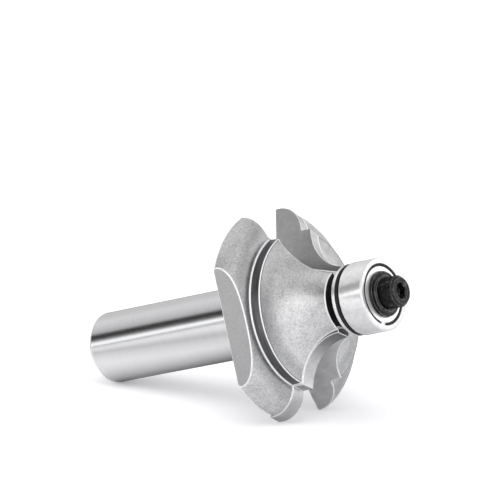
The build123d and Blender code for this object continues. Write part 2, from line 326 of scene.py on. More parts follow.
# Where a point lies on the tool: millimetres in its own frame, height, radius and turn about the axis.
along_tool, given, result = shared_effect(
    "place along the tool",
    [("Point", "NodeSocketVector", None)],
    [("Place", "NodeSocketVector"), ("Height", "NodeSocketFloat"), ("Radius", "NodeSocketFloat"),
     ("Turn", "NodeSocketFloat")],
)
own_frame = add(
    along_tool,
    "ShaderNodeMapping",
    {"Vector": given["Point"], "Location": tool_start, "Rotation": tool_turn.to_euler(),
     "Scale": (0.001, 0.001, 0.001)},
    vector_type="TEXTURE",
)
parts = add(along_tool, "ShaderNodeSeparateXYZ", {"Vector": own_frame.outputs[0]}).outputs
across = sum_of(along_tool, "MULTIPLY", parts["X"], parts["X"])
across = sum_of(along_tool, "MULTIPLY_ADD", parts["Y"], parts["Y"], across)
along_tool.links.new(own_frame.outputs[0], result["Place"])
along_tool.links.new(parts["Z"], result["Height"])
along_tool.links.new(sum_of(along_tool, "SQRT", across), result["Radius"])
along_tool.links.new(sum_of(along_tool, "ARCTAN2", parts["Y"], parts["X"]), result["Turn"])

# Blasted skin: broad stains from handling and heat, and the fine pits that the grit leaves.
blasted_skin, given, result = shared_effect(
    "blasted skin",
    [("Place", "NodeSocketVector", None), ("Stain Size", "NodeSocketFloat", 3.0),
     ("Pit Size", "NodeSocketFloat", 0.2)],
    [("Stain", "NodeSocketFloat"), ("Pits", "NodeSocketFloat")],
)
stain_scale = sum_of(blasted_skin, "DIVIDE", 1.0, given["Stain Size"])
pit_scale = sum_of(blasted_skin, "DIVIDE", 1.0, given["Pit Size"])
stain = add(blasted_skin, "ShaderNodeTexNoise",
            {"Vector": given["Place"], "Scale": stain_scale, "Detail": 5.0, "Roughness": 0.6})
pits = add(blasted_skin, "ShaderNodeTexNoise",
           {"Vector": given["Place"], "Scale": pit_scale, "Detail": 2.0, "Roughness": 0.5})
blasted_skin.links.new(stain.outputs["Fac"], result["Stain"])
blasted_skin.links.new(pits.outputs["Fac"], result["Pits"])

# Lathe and grinding marks: fine rings round the axis, uneven along their way.
ring_marks, given, result = shared_effect(
    "ring marks",
    [("Height", "NodeSocketFloat", 0.0), ("Radius", "NodeSocketFloat", 0.0),
     ("Turn", "NodeSocketFloat", 0.0), ("Pitch", "NodeSocketFloat", 0.1), ("Waver", "NodeSocketFloat", 0.5)],
    [("Marks", "NodeSocketFloat")],
)
up = sum_of(ring_marks, "DIVIDE", given["Height"], given["Pitch"])
out = sum_of(ring_marks, "DIVIDE", given["Radius"], given["Pitch"])
round_it = sum_of(ring_marks, "MULTIPLY", sum_of(ring_marks, "COSINE", given["Turn"]), given["Waver"])
marks_at = add(ring_marks, "ShaderNodeCombineXYZ", {"X": up, "Y": out, "Z": round_it}).outputs[0]
marks = add(ring_marks, "ShaderNodeTexNoise",
            {"Vector": marks_at, "Scale": 1.0, "Detail": 3.0, "Roughness": 0.65})
ring_marks.links.new(marks.outputs["Fac"], result["Marks"])


def metal(name, metallic=1.0):
    """New node material: its tree, its Principled shader, and where a point lies on the tool."""
    material = bpy.data.materials.new(name)
    material.use_nodes = True
    tree = material.node_tree
    shader = tree.nodes["Principled BSDF"]
    shader.inputs["Metallic"].default_value = metallic
    point = add(tree, "ShaderNodeTexCoord").outputs["Object"]
    place = add(tree, "ShaderNodeGroup", {}, node_tree=along_tool)
    tree.links.new(point, place.inputs["Point"])
    return material, tree, shader.inputs, place.outputs


def bump(tree, height, depth, normal_into):
    """Raise a surface by a height map; depth is in millimetres."""
    item = add(tree, "ShaderNodeBump", {"Height": height, "Strength": 1.0, "Distance": depth / 1000})
    tree.links.new(item.outputs["Normal"], normal_into)


def skin_of(tree, place, stain_size, pit_size=0.2):
    """Stains and pits of the blasted skin at a material's own sizes."""
    inputs = {"Place": place, "Stain Size": stain_size, "Pit Size": pit_size}
    return add(tree, "ShaderNodeGroup", inputs, node_tree=blasted_skin).outputs


def marks_of(tree, place, pitch, waver):
    """Ring marks at a material's own pitch."""
    inputs = {label: place[label] for label in ("Height", "Radius", "Turn")}
    inputs.update({"Pitch": pitch, "Waver": waver})
    return add(tree, "ShaderNodeGroup", inputs, node_tree=ring_marks).outputs["Marks"]


blasted_steel, tree, steel, place = metal("blasted head steel")
skin = skin_of(tree, place["Place"], 1.8, 0.3)
grain = sum_of(tree, "MULTIPLY", skin["Pits"], 0.65)
mottle = sum_of(tree, "MULTIPLY_ADD", skin["Stain"], 0.35, grain)
mottle = ramp(
    tree, mottle, (0.36, grey(0.50, 0.006)), (0.50, grey(0.66, 0.008)), (0.62, grey(0.78, 0.008))
)
# Painted shade: the head is darkened from the bead's end across the ring to the cove's start, for the shade
# on the step.
painted_ring_shade = ramp(
    tree,
    ranged(tree, place["Height"], *RING_SHADE_HEIGHTS, 0.0, 1.0),
    (0.00, grey(1.00)),
    (0.18, grey(0.62)),
    (0.68, grey(0.66)),
    (0.80, grey(1.00)),
)
tree.links.new(blend(tree, 1.0, mottle, painted_ring_shade, "MULTIPLY"), steel["Base Color"])
tree.links.new(ranged(tree, skin["Pits"], 0.3, 0.7, 0.34, 0.46), steel["Roughness"])
bump(tree, skin["Pits"], 0.016, steel["Normal"])

ground_shank, tree, steel, place = metal("ground shank steel")
rings = marks_of(tree, place, 0.12, 1.5)
tree.links.new(
    ramp(tree, rings, (0.3, grey(0.66, 0.012)), (0.7, grey(0.76, 0.014))), steel["Base Color"]
)
tree.links.new(ranged(tree, rings, 0.3, 0.7, 0.14, 0.22), steel["Roughness"])
bump(tree, rings, 0.002, steel["Normal"])

milled_steel, tree, steel, place = metal("milled gullet steel")
stretch = add(tree, "ShaderNodeMapping", {"Vector": place["Place"], "Scale": (1.0, 1.0, 0.5)})
skin = skin_of(tree, stretch.outputs[0], 1.4, 0.3)
tree.links.new(
    ramp(tree, skin["Stain"], (0.3, grey(0.58, 0.006)), (0.7, grey(0.74, 0.006))), steel["Base Color"]
)
tree.links.new(ranged(tree, skin["Pits"], 0.3, 0.7, 0.34, 0.46), steel["Roughness"])
bump(tree, skin["Pits"], 0.008, steel["Normal"])

flat_steel, tree, steel, place = metal("milled flat steel")
skin = skin_of(tree, place["Place"], 2.4, 0.3)
tree.links.new(
    ramp(tree, skin["Pits"], (0.3, grey(0.41, 0.006)), (0.7, grey(0.49, 0.008))), steel["Base Color"]
)
tree.links.new(ranged(tree, skin["Stain"], 0.3, 0.7, 0.36, 0.48), steel["Roughness"])
bump(tree, skin["Pits"], 0.004, steel["Normal"])

# Painted highlight: the eased edges and the ring's outer corner are coloured near white, so they read as
# bright lines under any light.
highlight_edge_steel, tree, steel, place = metal("steel edge with painted highlight", metallic=0.5)
skin = skin_of(tree, place["Place"], 0.8)
tree.links.new(
    ramp(tree, skin["Stain"], (0.3, grey(0.80, 0.01)), (0.7, grey(0.96, 0.01))), steel["Base Color"]
)
tree.links.new(ranged(tree, skin["Pits"], 0.3, 0.7, 0.30, 0.42), steel["Roughness"])

# Painted shade: the ring between bead and cove is coloured dark grey, for the shade on the step; its turned
# marks are real.
shaded_ring_steel, tree, steel, place = metal("turned ring steel with painted shade")
rings = marks_of(tree, place, 0.3, 4.0)
tree.links.new(
    ramp(tree, rings, (0.3, grey(0.11, 0.004)), (0.7, grey(0.22, 0.006))), steel["Base Color"]
)
tree.links.new(ranged(tree, rings, 0.3, 0.7, 0.34, 0.46), steel["Roughness"])

# Painted shade: the neck, the nose face and the front of the rear washer are coloured near black, for the
# shade in the gap before the bearing.
painted_gap_shade, tree, steel, place = metal("steel with painted gap shade", metallic=0.2)
skin = skin_of(tree, place["Place"], 1.0)
tree.links.new(
    ramp(tree, skin["Stain"], (0.3, grey(0.002)), (0.7, grey(0.012))), steel["Base Color"]
)
tree.links.new(ranged(tree, skin["Pits"], 0.3, 0.7, 0.45, 0.6), steel["Roughness"])


def blank_outline():
    """Radius and height along the turned blank."""
    root = SHANK_R + ROOT_FILLET
    rim_r = CUT_R - BODY_RELIEF
    bead_end = RING_START - BODY_RELIEF
    ring_r = RING_R - BODY_RELIEF
    cove = COVE_R + BODY_RELIEF
    cove_start = (ring_r, COVE_END - math.sqrt(cove ** 2 - BODY_RELIEF ** 2))
    nose = (RING_R - math.sqrt(cove ** 2 - NOSE_SETBACK ** 2), NOSE)
    pin_end = WASHER + PIN_LENGTH
    return [
        (0, 0),
        (SHANK_R - SHANK_BEVEL, 0),
        (SHANK_R, SHANK_BEVEL),
        *arc((root, SHANK_LENGTH), (SHANK_R, SHANK_LENGTH), (root, BACK)),
        (rim_r - RIM_BREAK, BACK),
        (rim_r, BACK + RIM_BREAK),
        *arc((RING_R, RIM), (rim_r, RIM), (RING_R, bead_end)),
        *rounded((RING_R, bead_end), (ring_r, bead_end), cove_start, RING_FILLET),
        *arc((RING_R, COVE_END), cove_start, nose),
        *rounded(nose, (NECK_R, NOSE), (NECK_R, WASHER), NECK_FILLET),
        (NECK_R, WASHER),
        (PIN_R, WASHER),
        (PIN_R, pin_end - PIN_BEVEL),
        (PIN_R - PIN_BEVEL, pin_end),
        (HOLE_R, pin_end),
        (HOLE_R, pin_end - HOLE_DEPTH),
        (0, pin_end - HOLE_DEPTH),
    ]


def gullet_tool():
    """Milling path of one gullet: its floor rises towards the shank and runs out past the head."""
    floor_x = GULLET_NOSE_X - GULLET_SLOPE * GULLET_LIFT
    wall_x = floor_x + GULLET_W - GULLET_FLOOR_W
    far_x = 2 * CUT_R
    far_y = GULLET_W + (far_x - wall_x) * math.tan(GULLET_FLARE)
    foot, bend, lip = (floor_x, 0), (floor_x, GULLET_FLOOR_W), (wall_x, GULLET_W)
    section = [
        (far_x, 0),
        *rounded((far_x, 0), foot, bend, GULLET_ROOT_R),
        *rounded(foot, bend, lip, GULLET_BEND_R),
        *rounded(bend, lip, (far_x, far_y), GULLET_BEND_R),
        (far_x, far_y),
    ]
    top = NOSE + GULLET_LIFT
    sweep = Vector((GULLET_SLOPE, 0, -1)) * (top - BACK + SPARE)
    return prism("gullet tool", [(x, y, top) for x, y in section], sweep, milled_steel)


def plate_tool(grow, front):
    """Space of one carbide plate behind the rake face, grown on its brazed sides."""
    inner = NECK_R + TIP_SEAT - grow
    inner_back = inner + GULLET_SLOPE * (COVE_END - TIP_BACK)
    far_x = 2 * CUT_R
    side = ((inner, COVE_END), (inner_back, TIP_BACK), (far_x, TIP_BACK), (far_x, COVE_END))
    back = -TIP_T - grow
    return prism("plate tool", [(x, back, z) for x, z in side], (0, front - back, 0), milled_steel)


def flat_tool():
    """Block that mills one flat on the back of the bead."""
    low = BACK - SPARE
    high = RING_START
    corners = ((FLAT_HEIGHT, -CUT_R), (2 * CUT_R, -CUT_R), (2 * CUT_R, CUT_R), (FLAT_HEIGHT, CUT_R))
    block = prism("flat tool", [(x, y, low) for x, y in corners], (0, 0, high - low), flat_steel)
    block.data.transform(Matrix.Rotation(FLAT_TURN, 4, "Z"))
    return block


steel_body = turned(
    "steel_body", blank_outline(), blasted_steel, ground_shank, highlight_edge_steel, shaded_ring_steel, painted_gap_shade
)
GROUND, EDGE_HIGHLIGHT, RING, GAP_SHADE = range(1, 5)
ring_r = RING_R - BODY_RELIEF
# Faces by place: the shank is ground, the ring's outer corner takes the painted highlight, and the rest of
# the ring, the neck and the nose face take painted shade.
for face in steel_body.data.polygons:
    at = face.center
    off_ring = math.hypot(at.x, at.y) - ring_r
    if at.z < SHANK_LENGTH:
        face.material_index = GROUND
    elif RING_START - BODY_RELIEF < at.z < RING_START + RING_LENGTH and abs(off_ring) < RING_FILLET / 2:
        face.material_index = EDGE_HIGHLIGHT if off_ring > RING_LEDGE else RING
    elif at.z > NOSE - FACE_SKIN:
        face.material_index = GAP_SHADE
for flute in range(FLUTES):
    combine(steel_body, "DIFFERENCE", at_flute(gullet_tool(), flute))
    combine(steel_body, "DIFFERENCE", at_flute(plate_tool(BRAZE, SEAT_MOUTH), flute))
    combine(steel_body, "DIFFERENCE", at_flute(flat_tool(), flute))
# The bevels made here take the painted highlight.
eased(steel_body, EDGE_EASE, edge_slot=EDGE_HIGHLIGHT)
lay_down(steel_body)
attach(steel_body, "bit")
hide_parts("cutter_body")

# ================================================================ carbide tips
# Two plates of tungsten carbide, brazed into their seats and diamond ground to the cutting form,
# with relief behind every edge so that only the edge itself touches the wood.
TIP_RELIEF_SIDE = 0.5
TIP_RELIEF_FACE = 0.35
TIP_EASE = 0.08
NOSE_SHADE_RADII = (6.0, 11.0)

ground_carbide, tree, carbide, place = metal("ground carbide")
skin = skin_of(tree, place["Place"], 1.1, 0.25)
grain = sum_of(tree, "MULTIPLY", skin["Pits"], 0.5)
mottle = sum_of(tree, "MULTIPLY_ADD", skin["Stain"], 0.5, grain)
mottle = ramp(tree, mottle, (0.35, grey(0.48, 0.004)), (0.65, grey(0.64, 0.006)))
# Painted shade: the rake face darkens towards the nose, where it lies in shade beside the bearing.
painted_nose_shade = ranged(tree, place["Radius"], *NOSE_SHADE_RADII, 0.0, 1.0)
painted_nose_shade = ramp(tree, painted_nose_shade, (0.0, grey(0.35)), (0.7, grey(1.0)))
tree.links.new(blend(tree, 1.0, mottle, painted_nose_shade, "MULTIPLY"), carbide["Base Color"])
tree.links.new(ranged(tree, skin["Pits"], 0.3, 0.7, 0.32, 0.42), carbide["Roughness"])
bump(tree, skin["Pits"], 0.003, carbide["Normal"])

# Painted highlight: the eased edges of the plates are coloured light grey, so they read as bright lines under
# any light.
carbide_edge_highlight, tree, carbide, place = metal("honed carbide edge with painted highlight", metallic=0.5)
skin = skin_of(tree, place["Place"], 3.0)
tree.links.new(
    ramp(tree, skin["Stain"], (0.3, grey(0.74, 0.005)), (0.7, grey(0.90, 0.005))), carbide["Base Color"]
)
carbide["Roughness"].default_value = 0.25


def form_tool():
    """Cutting form swept back from the rake face with its relief."""
    ring_end = (RING_R, RING_START + RING_LENGTH)
    low = TIP_BACK - SPARE
    outline = [
        (0, low),
        (CUT_R, low),
        *arc((RING_R, RIM), (CUT_R, RIM), (RING_R, RING_START)),
        *arc((RING_R, COVE_END), ring_end, (PILOT_R, COVE_END)),
        (0, COVE_END),
    ]
    heel = (-TIP_RELIEF_SIDE, -TIP_T, -TIP_RELIEF_FACE)
    return prism("form tool", [(x, 0, z) for x, z in outline], heel, ground_carbide)


for flute in range(FLUTES):
    tip = form_tool()
    tip.name = f"carbide_plate_{flute + 1}"
    combine(tip, "INTERSECT", plate_tool(0, SEAT_MOUTH))
    tip.data.materials.clear()
    tip.data.materials.append(ground_carbide)
    tip.data.materials.append(carbide_edge_highlight)
    for face in tip.data.polygons:
        face.material_index = 0
    at_flute(tip, flute)
    eased(tip, TIP_EASE, edge_slot=1, segments=1)
    lay_down(tip)
    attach(tip, "bit")
    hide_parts(f"carbide_tip_{flute + 1}")

# ================================================================ braze
# A film of silver solder between each plate and its seat, run in with a torch when the tip is brazed
# on. It shows as a bright line round the plate, and is ground flush with the steel.
silver_solder, tree, solder, place = metal("silver solder", metallic=0.6)
skin = skin_of(tree, place["Place"], 0.6)
tree.links.new(
    ramp(tree, skin["Stain"], (0.3, (0.82, 0.81, 0.79)), (0.7, (0.97, 0.96, 0.95))),
    solder["Base Color"],
)
solder["Roughness"].default_value = 0.4

for flute in range(FLUTES):
    film = turned("film", blank_outline(), silver_solder)
    film.name = f"solder_film_{flute + 1}"
    combine(film, "INTERSECT", at_flute(plate_tool(BRAZE, 0), flute))
    combine(film, "DIFFERENCE", at_flute(plate_tool(0, SEAT_MOUTH), flute))
    film.data.materials.clear()
    film.data.materials.append(silver_solder)
    for face in film.data.polygons:
        face.material_index = 0
    lay_down(film)
    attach(film, "bit")

# ================================================================ rear washer
# Steel spacer, turned bright, that keeps the bearing clear of the head. It slides on the pin, and only its
# low hub bears on the inner ring. The front of its rim and its hub carry painted shade for the gap.
WASHER_R = 6.25
WASHER_T = 1.3
WASHER_HUB_R = 3.4
WASHER_HUB_T = 0.25
WASHER_EDGE = 0.2
WASHER_BRIGHT = 0.75
BEARING_BORE_R = 2.381
BEARING = WASHER + WASHER_T + WASHER_HUB_T

bright_steel, tree, steel, place = metal("bright turned steel", metallic=0.8)
rings = marks_of(tree, place, 0.07, 0.8)
tree.links.new(
    ramp(tree, rings, (0.3, grey(0.84, 0.01)), (0.7, grey(0.96, 0.01))), steel["Base Color"]
)
tree.links.new(ranged(tree, rings, 0.3, 0.7, 0.24, 0.34), steel["Roughness"])
bump(tree, rings, 0.002, steel["Normal"])

disc_end = WASHER + WASHER_T
spacer = turned(
    "rear_spacer",
    [
        (BEARING_BORE_R, WASHER),
        (WASHER_R - WASHER_EDGE, WASHER),
        *arc((WASHER_R - WASHER_EDGE, WASHER + WASHER_EDGE), (WASHER_R - WASHER_EDGE, WASHER),
             (WASHER_R, WASHER + WASHER_EDGE)),
        (WASHER_R, WASHER + WASHER_BRIGHT),
        *arc((WASHER_R - WASHER_EDGE, disc_end - WASHER_EDGE), (WASHER_R, disc_end - WASHER_EDGE),
             (WASHER_R - WASHER_EDGE, disc_end)),
        (WASHER_HUB_R, disc_end),
        (WASHER_HUB_R, BEARING),
        (BEARING_BORE_R, BEARING),
    ],
    bright_steel,
    painted_gap_shade,
    steps=192,
)
# The front of the rim and the hub take the painted shade.
for face in spacer.data.polygons:
    if face.center.z > WASHER + WASHER_BRIGHT:
        face.material_index = 1
lay_down(spacer)
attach(spacer, "bit")
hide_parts("rear_washer")

# ================================================================ ball bearing
# Standard shielded bearing of hardened chrome steel: the inner ring sits on the pin, the outer ring,
# polished on its rim, rolls along the work, and seven balls in a pressed cage run between them.
BEARING_W = 4.98
BEARING_R = 6.35
BEARING_EDGE = 0.3
INNER_LAND = 3.55
OUTER_LAND = 5.15
BALL_R = 1.19
BALL_PITCH = 4.366
BALL_COUNT = 7
TRACK_R = 1.25
BEARING_END = BEARING + BEARING_W
BEARING_MID = BEARING + BEARING_W / 2

polished_steel, tree, steel, place = metal("polished bearing steel", metallic=0.65)
rings = marks_of(tree, place, 0.05, 0.6)
skin = skin_of(tree, place["Place"], 0.9)
tree.links.new(
    ramp(tree, skin["Stain"], (0.3, grey(0.70, 0.008)), (0.7, grey(0.86, 0.008))), steel["Base Color"]
)
tree.links.new(ranged(tree, rings, 0.3, 0.7, 0.16, 0.24), steel["Roughness"])
bump(tree, rings, 0.001, steel["Normal"])

SEAT_R = 5.4
SEAT_DEPTH = 0.45
half_track = math.sqrt(TRACK_R ** 2 - (OUTER_LAND - BALL_PITCH) ** 2)
outer = turned(
    "bearing_rim_ring",
    [
        (SEAT_R, BEARING),
        *arc((BEARING_R - BEARING_EDGE, BEARING + BEARING_EDGE), (BEARING_R - BEARING_EDGE, BEARING),
             (BEARING_R, BEARING + BEARING_EDGE)),
        *arc((BEARING_R - BEARING_EDGE, BEARING_END - BEARING_EDGE), (BEARING_R, BEARING_END - BEARING_EDGE),
             (BEARING_R - BEARING_EDGE, BEARING_END)),
        (SEAT_R, BEARING_END),
        (SEAT_R, BEARING_END - SEAT_DEPTH),
        (OUTER_LAND, BEARING_END - SEAT_DEPTH),
        *arc((BALL_PITCH, BEARING_MID), (OUTER_LAND, BEARING_MID + half_track),
             (OUTER_LAND, BEARING_MID - half_track)),
        (OUTER_LAND, BEARING + SEAT_DEPTH),
        (SEAT_R, BEARING + SEAT_DEPTH),
    ],
    polished_steel,
    steps=192,
)
lay_down(outer)
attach(outer, "bearing_rim")
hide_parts("bearing_outer_ring")

half_track = math.sqrt(TRACK_R ** 2 - (BALL_PITCH - INNER_LAND) ** 2)
inner = turned(
    "bearing_hub_ring",
    [
        (BEARING_BORE_R + PIN_BEVEL, BEARING),
        (INNER_LAND, BEARING),
        *arc((BALL_PITCH, BEARING_MID), (INNER_LAND, BEARING_MID - half_track),
             (INNER_LAND, BEARING_MID + half_track)),
        (INNER_LAND, BEARING_END),
        (BEARING_BORE_R + PIN_BEVEL, BEARING_END),
        (BEARING_BORE_R, BEARING_END - PIN_BEVEL),
        (BEARING_BORE_R, BEARING + PIN_BEVEL),
    ],
    polished_steel,
    steps=144,
)
lay_down(inner)
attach(inner, "bit")
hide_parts("bearing_inner_ring")

# ================================================================ balls and cage
# Seven hardened balls roll in the tracks and turn about the axis at their own pace. A cage pressed
# from steel strip spaces them; it is made here as one plain band with round pockets.
CAGE_T = 0.7
CAGE_H = 3.2
CAGE_PLAY = 0.1
POCKET_STEPS = 32

pressed_steel, tree, steel, place = metal("pressed cage steel")
skin = skin_of(tree, place["Place"], 0.8)
tree.links.new(
    ramp(tree, skin["Stain"], (0.3, (0.44, 0.43, 0.41)), (0.7, (0.58, 0.57, 0.55))), steel["Base Color"]
)
tree.links.new(ranged(tree, skin["Pits"], 0.3, 0.7, 0.26, 0.38), steel["Roughness"])


def repeat_tree(name, **counts_and_sizes):
    """Geometry tree with a named input for each count and size, and what each is set to."""
    tree = bpy.data.node_groups.new(name, "GeometryNodeTree")
    sizes = []
    for label, value in counts_and_sizes.items():
        kind = "NodeSocketInt" if isinstance(value, int) else "NodeSocketFloat"
        socket = tree.interface.new_socket(label.replace("_", " "), in_out="INPUT", socket_type=kind)
        sizes.append((socket, value))
    tree.interface.new_socket("Geometry", in_out="OUTPUT", socket_type="NodeSocketGeometry")
    return tree, sizes, tree.nodes.new("NodeGroupInput").outputs


def end_tree(tree, spread, height, material):
    """Raise what is spread, make it real and dress it."""
    lift = add(tree, "ShaderNodeCombineXYZ", {"Z": height})
    raised = add(tree, "GeometryNodeTransform", {"Geometry": spread, "Translation": lift.outputs[0]})
    real = add(tree, "GeometryNodeRealizeInstances", {"Geometry": raised.outputs["Geometry"]})
    dressed = add(tree, "GeometryNodeSetMaterial",
                  {"Geometry": real.outputs["Geometry"], "Material": material})
    tree.links.new(dressed.outputs["Geometry"], tree.nodes.new("NodeGroupOutput").inputs["Geometry"])


ball_tree, ball_sizes, wanted = repeat_tree(
    "ball set", Balls=BALL_COUNT, Ball_Radius=BALL_R, Pitch_Radius=BALL_PITCH, Height=BEARING_MID
)
circle = add(ball_tree, "GeometryNodeMeshCircle",
             {"Vertices": wanted["Balls"], "Radius": wanted["Pitch Radius"]})
ball = add(ball_tree, "GeometryNodeMeshUVSphere",
           {"Segments": 32, "Rings": 20, "Radius": wanted["Ball Radius"]})
smooth = add(ball_tree, "GeometryNodeSetShadeSmooth", {"Geometry": ball.outputs["Mesh"]})
spread = add(ball_tree, "GeometryNodeInstanceOnPoints",
             {"Points": circle.outputs["Mesh"], "Instance": smooth.outputs["Geometry"]})
end_tree(ball_tree, spread.outputs["Instances"], wanted["Height"], polished_steel)


def grown(name, tree, sizes):
    """Plain mesh piece from a geometry tree and its named sizes."""
    piece = bpy.data.objects.new(name, bpy.data.meshes.new(name))
    bpy.context.scene.collection.objects.link(piece)
    nodes = piece.modifiers.new("tree", "NODES")
    nodes.node_group = tree
    for socket, value in sizes:
        nodes[socket.identifier] = value
    return baked(piece)


ball_set = grown("bearing_ball_set", ball_tree, ball_sizes)
lay_down(ball_set)
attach(ball_set, "ball_set")

low = BEARING_MID - CAGE_H / 2
high = BEARING_MID + CAGE_H / 2
ribbon = turned(
    "bearing_ball_cage",
    [(BALL_PITCH - CAGE_T / 2, low), (BALL_PITCH + CAGE_T / 2, low), (BALL_PITCH + CAGE_T / 2, high),
     (BALL_PITCH - CAGE_T / 2, high)],
    pressed_steel,
    steps=112,
)
pocket_r = BALL_R + CAGE_PLAY
loop = [math.tau * step / POCKET_STEPS for step in range(POCKET_STEPS)]
pocket = [
    (BALL_PITCH - BALL_R, pocket_r * math.cos(turn), BEARING_MID + pocket_r * math.sin(turn)) for turn in loop
]
for number in range(BALL_COUNT):
    drill = prism("pocket drill", pocket, (2 * BALL_R, 0, 0), pressed_steel)
    drill.data.transform(Matrix.Rotation(math.tau * number / BALL_COUNT, 4, "Z"))
    combine(ribbon, "DIFFERENCE", drill)
lay_down(ribbon)
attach(ribbon, "ball_set")
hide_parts("bearing_cage")

# ================================================================ shields
# Two discs stamped from bright steel strip close the bearing. Each lies on a ledge in the outer ring
# and is held there by a split ring of spring wire. Its middle stands proud and its bore clears the
# inner ring.
SHIELD_T = 0.2
SHIELD_SINK = 0.22
SHIELD_INNER = 3.85
SHIELD_LIP = 0.12
SHIELD_FOOT = 0.15
SHIELD_RISE = 0.3
SHIELD_FALL = 0.2
SNAP_W = 0.4
SNAP_T = 0.18
SNAP_GAP = 1.4
SNAP_PLAY = 0.01
SNAP_CUT = 1.0

stamped_steel, tree, steel, place = metal("bright stamped steel", metallic=0.7)
rings = marks_of(tree, place, 0.2, 1.0)
tree.links.new(
    ramp(tree, rings, (0.3, grey(0.88, 0.005)), (0.7, grey(0.97, 0.005))), steel["Base Color"]
)
tree.links.new(ranged(tree, rings, 0.3, 0.7, 0.26, 0.36), steel["Roughness"])

# Painted shade: the split rings are coloured near black, for the shade in the groove between the outer ring
# and the shield.
spring_wire_painted_shade, tree, steel, place = metal("spring wire with painted shade")
skin = skin_of(tree, place["Place"], 0.4)
tree.links.new(
    ramp(tree, skin["Stain"], (0.3, grey(0.008)), (0.7, grey(0.04))), steel["Base Color"]
)
tree.links.new(ranged(tree, skin["Pits"], 0.3, 0.7, 0.28, 0.40), steel["Roughness"])

for side, name in ((-1, "rear"), (1, "front")):
    face = BEARING_MID + side * (BEARING_W / 2 - SHIELD_SINK)
    back = face - side * SHIELD_T
    lip = face + side * SHIELD_LIP
    disc = turned(
        f"{name}_shield_disc",
        [
            (SHIELD_INNER, back),
            (SEAT_R, back),
            (SEAT_R, face),
            (OUTER_LAND - SHIELD_FOOT, face),
            (OUTER_LAND - SHIELD_RISE, lip),
            (SHIELD_INNER + SHIELD_FALL, lip),
            (SHIELD_INNER, face),
        ],
        stamped_steel,
        steps=144,
    )
    lay_down(disc)
    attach(disc, "bearing_rim")
    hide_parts(f"bearing_shield_{name}")

    ends = (face + side * SNAP_PLAY, face + side * SNAP_T)
    outside = SEAT_R - SNAP_PLAY
    inside = SEAT_R - SNAP_W
    loop = [(inside, ends[0]), (outside, ends[0]), (outside, ends[1]), (inside, ends[1])]
    snap = turned(f"{name}_snap_ring", loop, spring_wire_painted_shade, steps=144)
    corners = [(0, -SNAP_GAP / 2), (2 * SEAT_R, -SNAP_GAP / 2), (2 * SEAT_R, SNAP_GAP / 2), (0, SNAP_GAP / 2)]
    mouth = [(x, y, face - SNAP_CUT) for x, y in corners]
    combine(snap, "DIFFERENCE", prism("snap mouth", mouth, (0, 0, 2 * SNAP_CUT), spring_wire_painted_shade))
    lay_down(snap)
    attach(snap, "bearing_rim")

# ================================================================ front washer
# Turned steel washer with a black oxide finish, under the screw's head. Its thin rim lies on the inner
# ring and stays clear of the shield, and its middle is raised to meet the head.
CAP_R = 3.95
CAP_T = 0.95
CAP_RIM_T = 0.5
CAP_HUB_R = 3.35
CAP_HUB_BEVEL = 0.25
CAP_BORE_R = 1.6
CAP_FILLET = 0.12
CAP_EASE = 0.05
HEAD = BEARING_END + CAP_T

black_oxide, tree, oxide, place = metal("black oxide steel", metallic=0.85)
skin = skin_of(tree, place["Place"], 0.7, 0.12)
tree.links.new(
    ramp(tree, skin["Stain"], (0.3, grey(0.008)), (0.55, grey(0.03)), (0.70, grey(0.14))),
    oxide["Base Color"],
)
tree.links.new(ranged(tree, skin["Pits"], 0.3, 0.7, 0.30, 0.46), oxide["Roughness"])
bump(tree, skin["Pits"], 0.004, oxide["Normal"])

# Worn oxide and painted highlight: the eased edges of the washer and the screw are coloured lighter grey,
# partly for wear and partly as bright edge lines.
oxide_edge_worn_and_lit, tree, oxide, place = metal("worn black oxide with painted highlight", metallic=0.8)
skin = skin_of(tree, place["Place"], 0.4)
tree.links.new(
    ramp(tree, skin["Stain"], (0.35, grey(0.05)), (0.65, grey(0.22))), oxide["Base Color"]
)
oxide["Roughness"].default_value = 0.32

rim_top = BEARING_END + CAP_RIM_T
cap = turned(
    "front_cap_washer",
    [
        (CAP_BORE_R, BEARING_END),
        (CAP_R, BEARING_END),
        (CAP_R, rim_top),
        *rounded((CAP_R, rim_top), (CAP_HUB_R, rim_top), (CAP_HUB_R, HEAD), CAP_FILLET),
        (CAP_HUB_R, HEAD - CAP_HUB_BEVEL),
        (CAP_HUB_R - CAP_HUB_BEVEL, HEAD),
        (CAP_BORE_R, HEAD),
    ],
    black_oxide,
    oxide_edge_worn_and_lit,
    steps=160,
)
eased(cap, CAP_EASE, edge_slot=1)
lay_down(cap)
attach(cap, "bit")
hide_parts("front_washer")

# ================================================================ clamp screw
# Black steel socket-head screw in the end of the pin. Its head is knurled round the side and the
# hexagonal socket has a drilled bottom. The thread is hidden in the pin, so its shaft is left plain.
SCREW_R = 1.5
SCREW_LENGTH = 8.0
SCREW_HEAD_R = 2.75
SCREW_HEAD_H = 3.0
SCREW_HEAD_BEVEL = 0.45
SCREW_FOOT_BEVEL = 0.2
SOCKET_ACROSS = 2.5
SOCKET_DEPTH = 1.5
SOCKET_CONE = 0.5
SOCKET_SKIN = 0.1
MOUTH_DEPTH = 0.3
MOUTH_INNER = 0.2
MOUTH_OUTER = 0.15
MOUTH_SPARE = 0.05
POINT_BEVEL = 0.4
SCREW_EASE = 0.04
KNURL_COUNT = 44
KNURL_DEPTH = 0.09
KNURL_FOOT = 0.45
KNURL_TOP = 0.5
HEAD_END = HEAD + SCREW_HEAD_H
SCREW_POINT = HEAD - SCREW_LENGTH

